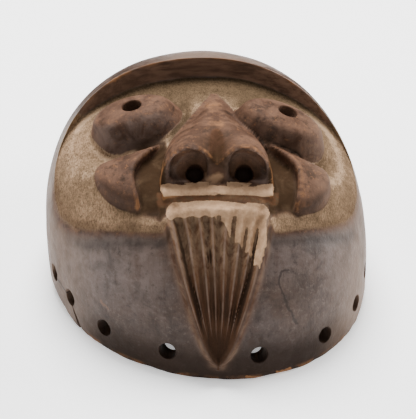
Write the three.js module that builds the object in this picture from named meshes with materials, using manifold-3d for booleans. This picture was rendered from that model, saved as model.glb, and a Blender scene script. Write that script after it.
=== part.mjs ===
// A dome-shaped face mask hewn from one block of wood, lying face up on its rim.
// +Z points out of the face, +Y to the crown, +X to the viewer's right. Millimetres.
// The chin is at -Y. The geometry is drawn about the middle of the nose, and the
// mesh is then moved so that the box of the mask is centred on the origin.

import * as THREE from 'three';
import { mergeVertices } from 'three/addons/utils/BufferGeometryUtils.js';
import Module from 'manifold-3d';

// Where the middle of the nose lies in the finished part.
const PLACE = { x: 5.98, y: -6.05 };

// The outer shell: reach of the rim from the middle of the nose, height of the crown,
// how square each flank is and how far the summit leans from the middle.
const SHELL = {
  left: 124, right: 117, chin: 131, crown: 142, height: 155,
  flank: 2.83, jaw: 1.76, brow: 2.73, plan: 2.04,
  leanX: -7.5, leanY: 10, bulge: 2.2, skew: -0.024, corner: -0.010,
};
const WALL = 13;

// The scooped face field and the crest that its upper wall leaves standing.
const FIELD = {
  x: -7, y: -13, halfWidth: 110, halfLength: 75, crownPower: 2.0,
  jawLengthLeft: 71, jawLengthRight: 75, jawPowerLeft: 2.3, jawPowerRight: 2.6,
  height: 134, fallLeft: 0.00126, fallRight: 0.0025, slope: 0.06, brow: 57,
  crownRecess: 4, flankRecess: 1.3, flankFrom: 18, flankTo: 58,
  blend: 14, valleyDepth: 7.5, valleyX: 43, valleyY: -45,
  valleyHalfWidth: 13, valleyHalfLength: 30,
};

// The eyes: oval stumps with tilted tops, each with a bored hole.
const EYES = [
  { side: -1, x: -62.5, y: 1.5, z: 143.2, turn: -16, long: 26.5, short: 18, tilt: 11,
    splay: 0.45, lean: 0.16, round: 4, holeX: -61, holeY: 3 },
  { side: 1, x: 50, y: -2.5, z: 140.8, turn: -19, long: 28, short: 18, tilt: 16,
    splay: 0.42, lean: 0, round: 4, holeX: 52.5, holeY: 1.5 },
];
const EYE_HOLE = 14.6;

// The cheeks: comma-shaped pads, outline in plan. The top slopes outward and rounds
// down toward the jaw, by bend times the square of the distance from crestY.
const CHEEKS = [
  { x: -57, z: 127.5, rise: 0.34, crestY: -43, bend: 0.015, round: 3,
    spine: [[-46, -24], [-66, -40], [-70, -54]],
    outline: [[-40, -22], [-50.5, -34.5], [-57, -48], [-58, -56], [-57, -63], [-55, -69],
      [-53.5, -74], [-59, -72.5], [-68.3, -68.5], [-77.5, -61], [-83.5, -52.5],
      [-86.5, -43], [-82, -32], [-73.5, -28], [-56, -26], [-39, -17]] },
  { x: 55, z: 126, rise: -0.47, crestY: -44, bend: 0.0145, round: 3,
    spine: [[41, -22], [62, -38], [68, -54]],
    outline: [[33, -22], [42, -27], [51.5, -38], [55.8, -48], [56, -61], [54.7, -69],
      [52.5, -75.5], [59, -74.5], [71.5, -67], [78.5, -57], [81, -46], [78, -34],
      [67.6, -31], [58, -28], [45, -20], [35, -16]] },
];

// The nose: a pyramid that opens into two arches over the nostrils.
const NOSE = {
  root: 36, front: -60, rootHalf: 8, wingHalf: 38.5, flare: 1.8,
  rootHeight: 133, archHeight: 148.2, rootBase: 128, wingBase: 116, arch: 17, notch: 12,
};
const CUP = { leftX: -20.5, rightX: 21, z: 131.5, halfWidth: 14.5, depth: 12.5, halfHeight: 13 };
const NOSTRIL = { leftX: -15.8, rightX: 18.6, z: 131, diameter: 12.4, depth: 19, direction: [0, 0.62, -1] };

// The upper lip and the block under it, both bars across the mouth.
const LIP = { half: 38.5, back: -44, front: -70, top: 118, bottom: 90, sag: 0.0012, round: 1.5 };
const BLOCK = { half: 35, back: -50, front: -82.5, top: 111, bottom: 70, sag: 0.0022, round: 4.5 };

// The fluted beard on the jaw: a pointed panel between two ridges.
const BEARD = {
  x: 0.5, top: 101, tip: 15, half: 33, taper: 0.82,
  flutes: 7, fluteShare: 0.283, fluteDepth: 2.6, fluteEnd: 34,
  ridgeHalf: 3.2, ridgeHeight: 3.0,
};

// Cord holes round the rim, centres on the outer face.
const CORD_HOLE = 12.6;
const CORD_HOLE_FALL = 0.2;
const CORD_HOLES = [
  [-118.2, -41.8, 25.9], [-105.7, -65.6, 21.3], [-79.8, -95.5, 17.9], [-34.8, -121.2, 18.7],
  [28.8, -126.5, 19.7], [76.9, -103.1, 17.5], [102.1, -69, 18.9], [111.3, -40.9, 27.6],
  [-125, 12, 24], [-110, 72, 22], [-62, 124, 22], [0, 142, 22], [62, 118, 22], [102, 68, 22],
  [116, 12, 24],
];

// The split in the rim under the second hole on the left.
const SPLIT = { foot: [-98.5, -77], head: [-105.7, -65.6], height: 21, footWidth: 4, headWidth: 1.2 };

const clamp = THREE.MathUtils.clamp;
const mix = THREE.MathUtils.lerp;
const radians = THREE.MathUtils.degToRad;

function smoothMax(a, b, width) {
  const h = clamp(0.5 + 0.5 * (a - b) / width, 0, 1);
  return mix(b, a, h) + width * h * (1 - h);
}

const smoothMin = (a, b, width) => -smoothMax(-a, -b, width);

// Reach of the rim in the direction (across, along), a unit vector.
function rimReach(across, along, trim = 0) {
  const angle = Math.atan2(along, across);
  const side = (across < 0 ? SHELL.left : SHELL.right) - trim;
  const end = (along < 0 ? SHELL.chin : SHELL.crown) - trim;
  const power = SHELL.plan;
  const oval = (Math.abs(across / side) ** power + Math.abs(along / end) ** power) ** (-1 / power);
  return oval * (1 + SHELL.skew * Math.sin(2 * angle) + SHELL.corner * Math.cos(3 * angle));
}

function flankPower(along) {
  const endness = along * along;
  return mix(SHELL.flank, along < 0 ? SHELL.jaw : SHELL.brow, endness);
}

const swell = (level, along) =>
  1 + SHELL.bulge / 120 * Math.sin(Math.PI * level) * (1 - 0.5 * along * along);

// Point of the shell at a bearing, with climb 0 at the summit and 1 at the rim.
function shellPoint(bearing, climb, trim = 0) {
  const across = Math.cos(bearing);
  const along = Math.sin(bearing);
  const n = flankPower(along);
  const angle = climb * Math.PI / 2;
  const out = Math.sin(angle);
  const up = Math.max(Math.cos(angle), 0);
  const k = (out ** n + up ** n) ** (-1 / n);
  const level = k * up;
  const reach = rimReach(across, along, trim) * k * out * swell(level, along);
  return [
    reach * across + SHELL.leanX * level,
    reach * along + SHELL.leanY * level,
    (SHELL.height - trim) * level,
  ];
}

// Signed gap from a point to the shell, negative inside the wood.
function shellGap(x, y, z) {
  const level = z / SHELL.height;
  const dx = x - SHELL.leanX * level;
  const dy = y - SHELL.leanY * level;
  const reach = Math.hypot(dx, dy) + 1e-9;
  const along = dy / reach;
  const n = flankPower(along);
  const out = reach / (rimReach(dx / reach, along) * swell(Math.abs(level), along));
  const q = (out ** n + Math.abs(level) ** n) ** (1 / n) + 1e-9;
  return Math.hypot(reach, z) * (1 - 1 / q);
}

// Halves an interval until the sign change of a rising function is found.
function solve(low, high, rising) {
  for (let i = 0; i < 32; i += 1) {
    const middle = (low + high) / 2;
    if (rising(middle) > 0) high = middle;
    else low = middle;
  }
  return (low + high) / 2;
}

const jawSurface = (x, z) => -solve(0, 160, (depth) => shellGap(x, -depth, z));

function loft(rings, toPlane) {
  const count = rings[0].length;
  const indices = [];
  for (let r = 0; r + 1 < rings.length; r += 1) {
    for (let i = 0; i < count; i += 1) {
      const a = r * count + i;
      const b = r * count + (i + 1) % count;
      indices.push(a, b, b + count, a, b + count, a + count);
    }
  }
  const cap = (ring) => THREE.ShapeUtils.triangulateShape(ring.map(toPlane), []);
  const turned = THREE.ShapeUtils.isClockWise(rings[0].map(toPlane));
  const flip = ([a, b, c]) => [a, c, b];
  const first = cap(rings[0]);
  const last = cap(rings.at(-1));
  const offset = (rings.length - 1) * count;
  const lift = (t) => t.map((i) => i + offset);
  for (const t of first) indices.push(...(turned === capTurned(t, rings[0].map(toPlane)) ? flip(t) : t));
  for (const t of last) {
    indices.push(...lift(turned === capTurned(t, rings.at(-1).map(toPlane)) ? t : flip(t)));
  }
  const geometry = new THREE.BufferGeometry();
  geometry.setAttribute('position', new THREE.Float32BufferAttribute(rings.flat(2), 3));
  geometry.setIndex(indices);
  return geometry;
}

const capTurned = (t, points) => THREE.ShapeUtils.isClockWise(t.map((i) => points[i]));
const onPlan = (p) => new THREE.Vector2(p[0], p[1]);
const onFront = (p) => new THREE.Vector2(p[0], p[2]);

const wasm = await Module();
wasm.setup();

// Turns a closed geometry into a solid, with its faces pointing out.
function solid(geometry, matrix) {
  const bare = geometry.clone();
  bare.deleteAttribute('normal');
  bare.deleteAttribute('uv');
  if (matrix) bare.applyMatrix4(matrix);
  const merged = mergeVertices(bare);
  const positions = merged.attributes.position.array;
  const triangles = Uint32Array.from(merged.index.array);
  let volume = 0;
  const corner = (i) => new THREE.Vector3().fromArray(positions, 3 * i);
  for (let i = 0; i < triangles.length; i += 3) {
    volume += corner(triangles[i]).dot(corner(triangles[i + 1]).cross(corner(triangles[i + 2])));
  }
  if (volume < 0) triangles.reverse();
  return new wasm.Manifold(new wasm.Mesh({
    numProp: 3, vertProperties: Float32Array.from(positions), triVerts: triangles,
  }));
}

const range = (count) => Array.from({ length: count }, (_, i) => i);
const bearings = (count) => range(count).map((i) => 2 * Math.PI * i / count);

function makeShell() {
  const climbs = [0.08, 0.2, 0.32, 0.42, 0.5, 0.57, 0.64, 0.7, 0.76, 0.82, 0.88, 0.94, 1];
  const rings = climbs.map((climb) => bearings(66).map((b) => shellPoint(b, climb)));
  return solid(loft(rings, onPlan));
}

const inValley = (x, y) => FIELD.valleyDepth
  * (Math.exp(-(((x + FIELD.valleyX) / FIELD.valleyHalfWidth) ** 2))
    + Math.exp(-(((x - FIELD.valleyX) / FIELD.valleyHalfWidth) ** 2)))
  * Math.exp(-(((y - FIELD.valleyY) / FIELD.valleyHalfLength) ** 2));

const fieldPlain = (x, y) => FIELD.height - (x < 0 ? FIELD.fallLeft : FIELD.fallRight) * x * x
  - FIELD.slope * Math.max(FIELD.brow - y, 0);

// Height of the field floor: a low plain that bends over to run just under the shell,
// closest to it at the flanks.
function fieldFloor(x, y) {
  const dip = inValley(x, y);
  const crownShare = THREE.MathUtils.smoothstep(y, FIELD.flankFrom, FIELD.flankTo);
  const recess = mix(FIELD.flankRecess, FIELD.crownRecess, crownShare);
  return solve(0, 220, (z) => smoothMax(
    z - fieldPlain(x, y) + dip,
    shellGap(x, y, z) + recess + dip / 2,
    FIELD.blend,
  ));
}

function fieldEdge(bearing) {
  const across = Math.cos(bearing);
  const along = Math.sin(bearing);
  const left = across < 0;
  const jaw = along < 0;
  const length = jaw ? (left ? FIELD.jawLengthLeft : FIELD.jawLengthRight) : FIELD.halfLength;
  const power = jaw ? (left ? FIELD.jawPowerLeft : FIELD.jawPowerRight) : FIELD.crownPower;
  return (Math.abs(across / FIELD.halfWidth) ** power + Math.abs(along / length) ** power)
    ** (-1 / power);
}

function makeFieldCut() {
  const steps = [0.06, 0.25, 0.42, 0.56, 0.68, 0.79, 0.9, 1];
  const place = (b, step) => {
    const reach = fieldEdge(b) * step;
    return [FIELD.x + reach * Math.cos(b), FIELD.y + reach * Math.sin(b)];
  };
  const rings = steps.map((step) => bearings(60).map((b) => {
    const [x, y] = place(b, step);
    return [x, y, fieldFloor(x, y)];
  }));
  rings.push(bearings(60).map((b) => [...place(b, 1), 220]));
  return solid(loft(rings, onPlan));
}

// Frame of an eye: e runs along the oval, f across it and n out of its top.
function eyeFrame(eye) {
  const tilt = radians(eye.tilt);
  const turn = radians(eye.turn);
  const n = new THREE.Vector3(eye.side * Math.sin(tilt), 0, Math.cos(tilt));
  const e = new THREE.Vector3(eye.side * Math.cos(turn), Math.sin(turn), 0);
  e.addScaledVector(n, -e.dot(n)).normalize();
  return { e, n, f: new THREE.Vector3().crossVectors(n, e) };
}

function makeEye(eye) {
  const { e, f, n } = eyeFrame(eye);
  const levels = [
    [-44, eye.round + 44 * eye.splay * 0.6], [-18, 18 * eye.splay], [-eye.round, 0],
    [-eye.round * 0.35, -eye.round * 0.3], [0, -eye.round],
  ];
  const rings = levels.map(([height, grow]) => bearings(28).map((b) => {
    const p = new THREE.Vector3(eye.x, eye.y, eye.z).addScaledVector(e, height * eye.lean);
    p.addScaledVector(e, Math.cos(b) * (eye.long + grow));
    p.addScaledVector(f, Math.sin(b) * (eye.short + grow));
    return p.addScaledVector(n, height).toArray();
  }));
  return solid(loft(rings, onPlan));
}

function nearestOn(line, p) {
  const spots = line.slice(1).map((end, i) => {
    const piece = new THREE.Line3(new THREE.Vector3(...line[i], 0), new THREE.Vector3(...end, 0));
    return piece.closestPointToPoint(p, true, new THREE.Vector3());
  });
  return spots.reduce((best, q) => (q.distanceTo(p) < best.distanceTo(p) ? q : best));
}

function makeCheek(cheek) {
  const points = cheek.outline.map(([x, y]) => new THREE.Vector3(x, y, 0));
  const curve = new THREE.CatmullRomCurve3(points, true, 'centripetal');
  const outline = curve.getSpacedPoints(36).slice(0, 36);
  const top = (p) => cheek.z + cheek.rise * (p.x - cheek.x) - cheek.bend * (p.y - cheek.crestY) ** 2;
  const ring = (inset, drop) => outline.map((p) => {
    const middle = nearestOn(cheek.spine, p);
    const q = p.clone().lerp(middle, inset);
    return [q.x, q.y, top(q) - drop];
  });
  const foot = outline.map((p) => [p.x, p.y, 70]);
  const { round } = cheek;
  return solid(loft(
    [foot, ring(0, round), ring(0.07, round * 0.3), ring(0.2, 0), ring(0.7, 0)],
    onPlan,
  ));
}

// Height of the nose over a section across it, at a distance along it from the front.
function noseSection(y) {
  const along = clamp((y - NOSE.front) / (NOSE.root - NOSE.front), 0, 1);
  const half = NOSE.rootHalf + (NOSE.wingHalf - NOSE.rootHalf) * (1 - along ** NOSE.flare);
  const arch = NOSE.arch * half / NOSE.wingHalf * (1 - 0.85 * along);
  const roofed = 0.8 * THREE.MathUtils.smoothstep(along, 0.15, 0.75);
  const base = mix(NOSE.wingBase, NOSE.rootBase, along);
  const ridge = mix(NOSE.archHeight, NOSE.rootHeight, along);
  const notch = NOSE.notch * (1 - THREE.MathUtils.smoothstep(along, 0, 0.36));
  const top = (x) => {
    const over = Math.max(Math.abs(x) - arch, 0) / (half - arch);
    const under = Math.max(arch - Math.abs(x), 0) / arch;
    const side = mix(Math.sqrt(Math.max(1 - over * over, 0)), 1 - over, roofed);
    return base + (ridge - base) * side - notch * under ** 1.6;
  };
  const across = range(25).map((i) => half * Math.sin(Math.PI * (i / 24 - 0.5)));
  const line = across.map((x) => [x - 0.5, y, top(x)]);
  return [...line, [half - 0.5, y, 90], [-half - 0.5, y, 90]];
}

function makeNose() {
  const stations = [0, 0.09, 0.18, 0.28, 0.4, 0.58, 0.8, 1];
  return solid(loft(stations.map((s) => noseSection(mix(NOSE.front, NOSE.root, s))), onFront));
}

const moved = (x, y, z) => new THREE.Matrix4().makeTranslation(x, y, z);

function makeCup(x) {
  const ball = new THREE.SphereGeometry(1, 16, 9);
  const size = new THREE.Matrix4().makeScale(CUP.halfWidth, CUP.depth, CUP.halfHeight);
  return solid(ball, moved(x, NOSE.front - 2.5, CUP.z).multiply(size));
}

// A round bore from a point along a direction, starting a little before the point.
function makeBore(diameter, point, direction, length, sides) {
  const axis = new THREE.Vector3(...direction).normalize();
  const middle = new THREE.Vector3(...point).addScaledVector(axis, length / 2 - 12);
  const turn = new THREE.Quaternion().setFromUnitVectors(new THREE.Vector3(0, 1, 0), axis);
  const matrix = new THREE.Matrix4().compose(middle, turn, new THREE.Vector3(1, 1, 1));
  return solid(new THREE.CylinderGeometry(diameter / 2, diameter / 2, length, sides), matrix);
}

function makeBar(bar) {
  const across = range(11).map((i) => bar.half * (i / 5 - 1));
  const section = (y, inset, drop) => {
    const scale = 1 - inset / bar.half;
    const line = across.map((x) => [x * scale, y, bar.top - drop - bar.sag * x * x]);
    return [...line, [bar.half * scale, y, bar.bottom], [-bar.half * scale, y, bar.bottom]];
  };
  return solid(loft([
    section(bar.back, 0, 0), section(bar.front + bar.round, 0, 0),
    section(bar.front + bar.round * 0.3, bar.round * 0.3, bar.round * 0.3),
    section(bar.front, bar.round, bar.round),
  ], onFront));
}

// Half the width of the beard panel at a height, drawing in toward its tip.
function beardHalf(z) {
  return BEARD.half * ((z - BEARD.tip) / (BEARD.top - BEARD.tip)) ** BEARD.taper;
}

// A tapering rod laid along the jaw at a fraction of the panel's half width.
function makeRod(fraction, from, to, widthAt, heightAt, sides) {
  const rings = range(7).map((i) => {
    const z = mix(from, to, i / 6);
    const x = BEARD.x + fraction * beardHalf(z);
    const y = jawSurface(x, z);
    const out = new THREE.Vector3(0, -1, jawSurface(x, z + 1) - y).normalize();
    return bearings(sides).map((b) => [
      x + widthAt(z) * Math.cos(b),
      y + heightAt(z) * Math.sin(b) * out.y,
      z + heightAt(z) * Math.sin(b) * out.z,
    ]);
  });
  return solid(loft(rings, onPlan));
}

function makeBeard() {
  const pitch = (z) => BEARD.fluteShare * beardHalf(z);
  const flutes = range(BEARD.flutes).map((i) => makeRod(
    0.02 + BEARD.fluteShare * (i - 3), BEARD.top + 2, BEARD.fluteEnd,
    (z) => 0.42 * Math.max(pitch(z), 1), (z) => BEARD.fluteDepth * Math.min(1, pitch(z) / 5), 8,
  ));
  const ridges = [-1, 1].map((side) => makeRod(
    side * 1.04, BEARD.top + 3, BEARD.tip + 1,
    () => BEARD.ridgeHalf, () => BEARD.ridgeHeight, 8,
  ));
  return { flutes, ridges };
}

// The hollow follows the shell one wall in, and passes under the scooped field.
function makeHollow() {
  const climbs = [0.1, 0.28, 0.44, 0.58, 0.7, 0.8, 0.9, 1];
  const rings = climbs.map((climb) => bearings(42).map((b) => {
    const [x, y, z] = shellPoint(b, climb, WALL);
    return [x, y, smoothMin(z, fieldPlain(x, y) - 1.6 * WALL, 12)];
  }));
  const foot = rings.at(-1).map(([x, y]) => [x, y, -6]);
  rings[rings.length - 1] = rings.at(-1).map(([x, y]) => [x, y, 0]);
  return solid(loft([...rings, foot], onPlan));
}

function makeSplit() {
  const [fx, fy] = SPLIT.foot;
  const [hx, hy] = SPLIT.head;
  const inward = new THREE.Vector2(-fx, -fy).normalize();
  const aside = new THREE.Vector2(-inward.y, inward.x);
  const ring = (x, y, z, width) => [[-6, -1], [24, -1], [24, 1], [-6, 1]].map(([depth, side]) => [
    x + inward.x * depth + aside.x * side * width / 2,
    y + inward.y * depth + aside.y * side * width / 2,
    z,
  ]);
  return solid(loft([
    ring(fx, fy, -1, SPLIT.footWidth), ring(mix(fx, hx, 0.3), mix(fy, hy, 0.3), 6, SPLIT.headWidth * 1.4),
    ring(hx, hy, SPLIT.height, SPLIT.headWidth),
  ], onPlan));
}

function makeMask() {
  let wood = makeShell().subtract(makeFieldCut());
  for (const eye of EYES) wood = wood.add(makeEye(eye));
  for (const cheek of CHEEKS) wood = wood.add(makeCheek(cheek));
  let nose = makeNose();
  for (const x of [CUP.leftX, CUP.rightX]) nose = nose.subtract(makeCup(x));
  wood = wood.add(nose);
  const { flutes, ridges } = makeBeard();
  for (const ridge of ridges) wood = wood.add(ridge);
  for (const flute of flutes) wood = wood.subtract(flute);
  wood = wood.add(makeBar(BLOCK)).add(makeBar(LIP)).subtract(makeHollow());
  for (const x of [NOSTRIL.leftX, NOSTRIL.rightX]) {
    const length = NOSTRIL.depth + 12;
    wood = wood.subtract(makeBore(NOSTRIL.diameter, [x, NOSE.front, NOSTRIL.z], NOSTRIL.direction, length, 16));
  }
  for (const eye of EYES) {
    const axis = eyeFrame(eye).n.negate().toArray();
    wood = wood.subtract(makeBore(EYE_HOLE, [eye.holeX, eye.holeY, eye.z], axis, 80, 16));
  }
  for (const [x, y, z] of CORD_HOLES) {
    const fall = -CORD_HOLE_FALL * Math.hypot(x, y);
    wood = wood.subtract(makeBore(CORD_HOLE, [x, y, z], [-x, -y, fall], 44, 14));
  }
  return wood.subtract(makeSplit());
}

function toGeometry(wood) {
  const mesh = wood.getMesh();
  const geometry = new THREE.BufferGeometry();
  geometry.setAttribute('position', new THREE.BufferAttribute(mesh.vertProperties, 3));
  geometry.setIndex(new THREE.BufferAttribute(mesh.triVerts, 1));
  geometry.computeVertexNormals();
  return geometry;
}

const patinatedWood = new THREE.MeshStandardMaterial({ color: 0x5b4a40, roughness: 0.6, metalness: 0 });
const mask = new THREE.Mesh(toGeometry(makeMask()), patinatedWood);
mask.name = 'mask';
mask.position.set(PLACE.x, PLACE.y, 0);

const group = new THREE.Group();
group.add(mask);

export default group;
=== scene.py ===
import math

import bpy
import numpy as np
from mathutils import Matrix, Vector


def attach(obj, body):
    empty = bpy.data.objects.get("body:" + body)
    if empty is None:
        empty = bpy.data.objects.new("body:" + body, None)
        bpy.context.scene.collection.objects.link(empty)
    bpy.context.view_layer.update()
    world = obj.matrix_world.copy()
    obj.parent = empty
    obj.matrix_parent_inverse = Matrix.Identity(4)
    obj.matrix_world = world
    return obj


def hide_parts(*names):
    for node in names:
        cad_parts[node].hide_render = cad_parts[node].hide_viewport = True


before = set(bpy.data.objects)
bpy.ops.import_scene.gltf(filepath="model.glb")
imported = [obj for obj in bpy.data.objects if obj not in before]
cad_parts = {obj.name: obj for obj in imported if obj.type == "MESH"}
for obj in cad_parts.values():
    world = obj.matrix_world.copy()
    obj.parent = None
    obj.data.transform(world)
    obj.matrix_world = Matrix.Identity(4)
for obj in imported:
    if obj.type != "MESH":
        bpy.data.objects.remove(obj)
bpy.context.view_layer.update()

# Camera. It looks down at the mask from the side of the chin, a little from the
# left and slightly rolled, from one metre away through a long lens.
def put_in(name, data):
    thing = bpy.data.objects.new(name, data)
    bpy.context.scene.collection.objects.link(thing)
    return thing


camera_elevation = math.radians(34.75)
camera_azimuth = math.radians(-2.1)
camera_roll = math.radians(1.22)
camera_distance = 1.0
looked_at = Vector((0.0060, -0.0061, 0.060))
focal_length_px, picture_width_px = 1320, 416
back = Vector((
    math.sin(camera_azimuth) * math.cos(camera_elevation),
    -math.cos(camera_azimuth) * math.cos(camera_elevation),
    math.sin(camera_elevation),
))
level_right = Vector((math.cos(camera_azimuth), math.sin(camera_azimuth), 0))
level_up = back.cross(level_right)
right = math.cos(camera_roll) * level_right + math.sin(camera_roll) * level_up
up = back.cross(right)
camera = put_in("camera", bpy.data.cameras.new("camera"))
turned = Matrix((right, up, back)).transposed().to_4x4()
camera.matrix_world = Matrix.Translation(looked_at + back * camera_distance) @ turned
camera.data.sensor_fit = "HORIZONTAL"
camera.data.sensor_width = 36
camera.data.lens = camera.data.sensor_width * focal_length_px / picture_width_px
camera.data.shift_x = -0.0146
camera.data.shift_y = -0.0149
camera.data.clip_end = 20
bpy.context.scene.camera = camera

# Studio light: a broad soft box over the crown, a weaker one on each side, a faint one
# in front and a pale surround, so that tops and flanks are bright and what faces the chin
# goes dark.
world = bpy.data.worlds.new("pale surround")
world.use_nodes = True
surround = world.node_tree.nodes["Background"]
surround.inputs["Color"].default_value = (1.0, 1.0, 1.0, 1)
surround.inputs["Strength"].default_value = 0.37
bpy.context.scene.world = world
lit_point = (0, 0, 0.08)


def soft_box(name, place, size, watts):
    lamp = bpy.data.lights.new(name, "AREA")
    lamp.shape = "DISK"
    lamp.size = size
    lamp.energy = watts
    holder = put_in(name, lamp)
    holder.location = place
    aim = Vector(lit_point) - Vector(place)
    holder.rotation_euler = aim.to_track_quat("-Z", "Y").to_euler()


soft_box("overhead soft box", (-0.10, 0.62, 1.42), 0.9, 80)
soft_box("left soft box", (-1.5, 0.30, 0.55), 0.8, 14)
soft_box("right soft box", (1.5, 0.25, 0.55), 0.8, 34)
soft_box("front fill", (0.15, -1.2, 0.95), 1.0, 4)

# Floor: a plain white sweep under the mask, with a faint glow of its own.
floor_half = 3.0
floor_mesh = bpy.data.meshes.new("floor")
floor_mesh.from_pydata(
    [(-floor_half, -floor_half, 0), (floor_half, -floor_half, 0),
     (floor_half, floor_half, 0), (-floor_half, floor_half, 0)], [], [(0, 1, 2, 3)])
floor = put_in("floor", floor_mesh)
paper = bpy.data.materials.new("white paper")
paper.use_nodes = True
paper_face = paper.node_tree.nodes["Principled BSDF"]
paper_face.inputs["Base Color"].default_value = (0.9, 0.9, 0.9, 1)
paper_face.inputs["Roughness"].default_value = 0.9
paper_face.inputs["Emission Color"].default_value = (1, 1, 1, 1)
paper_face.inputs["Emission Strength"].default_value = 0.45
floor_mesh.materials.append(paper)

# The mask: hewn from one block of wood, hollowed behind, pierced and then rubbed
# dark. Sizes are in millimetres about the middle of the nose at the plane of the
# rim, x to the viewer's right, y to the crown, z out of the face.
nose_line_at = np.array([5.98, -6.05, 0.0])
shell_left, shell_right, shell_chin, shell_crown, shell_height = 124, 117, 131, 142, 155
flank_power, jaw_power, brow_power, plan_power = 2.83, 1.76, 2.73, 2.04
summit_lean_x, summit_lean_y = -7.5, 10
flank_bulge, plan_skew, plan_corner = 2.2, -0.024, -0.010
wall = 13


def ease(low, high, t):
    """0 below low, 1 above high, and a smooth S between."""
    s = np.clip((t - low) / (high - low), 0, 1)
    return s * s * (3 - 2 * s)


def soft_max(a, b, width):
    """The larger of two, with the corner between them rounded over a width."""
    h = np.clip(0.5 + 0.5 * (a - b) / width, 0, 1)
    return b + (a - b) * h + width * h * (1 - h)


def soft_min(a, b, width):
    return -soft_max(-a, -b, width)


def bell(t, width):
    """1 at zero, falling to both sides as e to the minus square of t over the width."""
    return np.exp(-(t / width) ** 2)


def halving(within, near, far, rounds=30):
    """Where a test turns from true at near to false at far: each round keeps the half
    between them that the turn lies in."""
    for _ in range(rounds):
        middle = (near + far) / 2
        inside = within(middle)
        near, far = np.where(inside, middle, near), np.where(inside, far, middle)
    return near, far


def rim_reach(across, along, trim=0):
    """Superellipse in plan with its own half axis on each side, plus a slight skew."""
    bearing = np.arctan2(along, across)
    side = np.where(across < 0, shell_left, shell_right) - trim
    end = np.where(along < 0, shell_chin, shell_crown) - trim
    power = plan_power
    oval = (np.abs(across / side) ** power + np.abs(along / end) ** power) ** (-1 / power)
    return oval * (1 + plan_skew * np.sin(2 * bearing) + plan_corner * np.cos(3 * bearing))


def section_power(along):
    """How square the shell is in section: one value on the flanks, others at chin and brow."""
    endness = along * along
    return flank_power * (1 - endness) + np.where(along < 0, jaw_power, brow_power) * endness


def swell(level, along):
    """The flanks bulge by a sine of the level, half as much at the chin and the crown."""
    return 1 + flank_bulge / 120 * np.sin(np.pi * np.clip(level, 0, 1)) * (1 - 0.5 * along * along)


def shell_point(u, v, trim=0):
    """A square of u and v is laid on a disc, and the disc is bent over the dome: the
    distance from its middle is an angle on a superellipse, 0 at the summit and 90
    degrees at the rim."""
    dx = u * np.sqrt(1 - v * v / 2)
    dy = v * np.sqrt(1 - u * u / 2)
    rho = np.hypot(dx, dy) + 1e-9
    across, along = dx / rho, dy / rho
    out = np.maximum(np.sin(rho * np.pi / 2), 1e-9)
    level = np.maximum(np.cos(rho * np.pi / 2), 0)
    n = section_power(along)
    k = (out ** n + level ** n) ** (-1 / n)
    level = k * level
    reach = rim_reach(across, along, trim) * k * out * swell(level, along)
    return np.stack([
        reach * across + summit_lean_x * level,
        reach * along + summit_lean_y * level,
        (shell_height - trim) * level,
    ], -1)


def shell_gap(x, y, z):
    """Distance from the dome's surface, below zero in the wood."""
    level = z / shell_height
    dx = x - summit_lean_x * level
    dy = y - summit_lean_y * level
    reach = np.hypot(dx, dy) + 1e-9
    along = dy / reach
    n = section_power(along)
    out = reach / (rim_reach(dx / reach, along) * swell(np.abs(level), along))
    q = (out ** n + np.abs(level) ** n) ** (1 / n) + 1e-9
    return np.hypot(reach, z) * (1 - 1 / q)


def grain_noise(x, y, z, size, seed):
    """Smooth value noise from -1 to 1: hashed values at the corners of cubes of one
    size, blended between them."""
    px, py, pz = x / size + seed * 17.3, y / size + seed * 5.7, z / size + seed * 9.1
    ix, iy, iz = np.floor(px), np.floor(py), np.floor(pz)
    fx, fy, fz = px - ix, py - iy, pz - iz
    fx, fy, fz = (f * f * (3 - 2 * f) for f in (fx, fy, fz))
    total = 0
    for cx, cy, cz in np.ndindex(2, 2, 2):
        h = np.sin((ix + cx) * 127.1 + (iy + cy) * 311.7 + (iz + cz) * 74.7) * 43758.5453
        value = (h - np.floor(h)) * 2 - 1
        total = total + value * (
            (fx if cx else 1 - fx) * (fy if cy else 1 - fy) * (fz if cz else 1 - fz))
    return total


# The face field, scooped out of the front of the dome, and the crest over it.
field_x, field_y, field_half_width, field_half_length = -7, -13, 110, 75
field_height, field_fall_left, field_fall_right, field_slope = 134, 0.00126, 0.0025, 0.06
crown_recess, flank_recess, field_blend = 4, 1.3, 14
valley_depth, eye_dip_depth = 7.5, 8.5


def field_edge(x, y):
    """Distance outside the outline of the field, a superellipse squarer at the jaw."""
    left, jaw = x < field_x, y < field_y
    length = np.where(jaw, np.where(left, 74, 77), field_half_length)
    power = np.where(jaw, np.where(left, 2.3, 2.5), 2.0)
    q = (np.abs((x - field_x) / field_half_width) ** power
         + np.abs((y - field_y) / length) ** power) ** (1 / power) + 1e-9
    return np.hypot(x - field_x, y - field_y) * (1 - 1 / q)


def field_plain(x, y):
    """Height of the field's low plain: it falls by the square of x, and evenly to the jaw."""
    fall = np.where(x < 0, field_fall_left, field_fall_right)
    return field_height - fall * x * x - field_slope * np.maximum(57 - y, 0)


def field_gap(x, y, z, shell):
    """Distance over the field floor: the plain bends to run close under the dome at the
    flanks, with a valley on each side of the nose and a dip before each eye."""
    valleys = bell(x + 43, 13) + bell(x - 43, 13)
    dip = valley_depth * valleys * bell(y + 45, 30)
    dip = dip + eye_dip_depth * np.exp(-((np.abs(x) - 73) / 17) ** 2 - ((y + 21) / 13) ** 2)
    recess = flank_recess + (crown_recess - flank_recess) * ease(18, 58, y)
    return soft_max(z - field_plain(x, y) + dip, shell + recess + dip / 2, field_blend)


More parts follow.
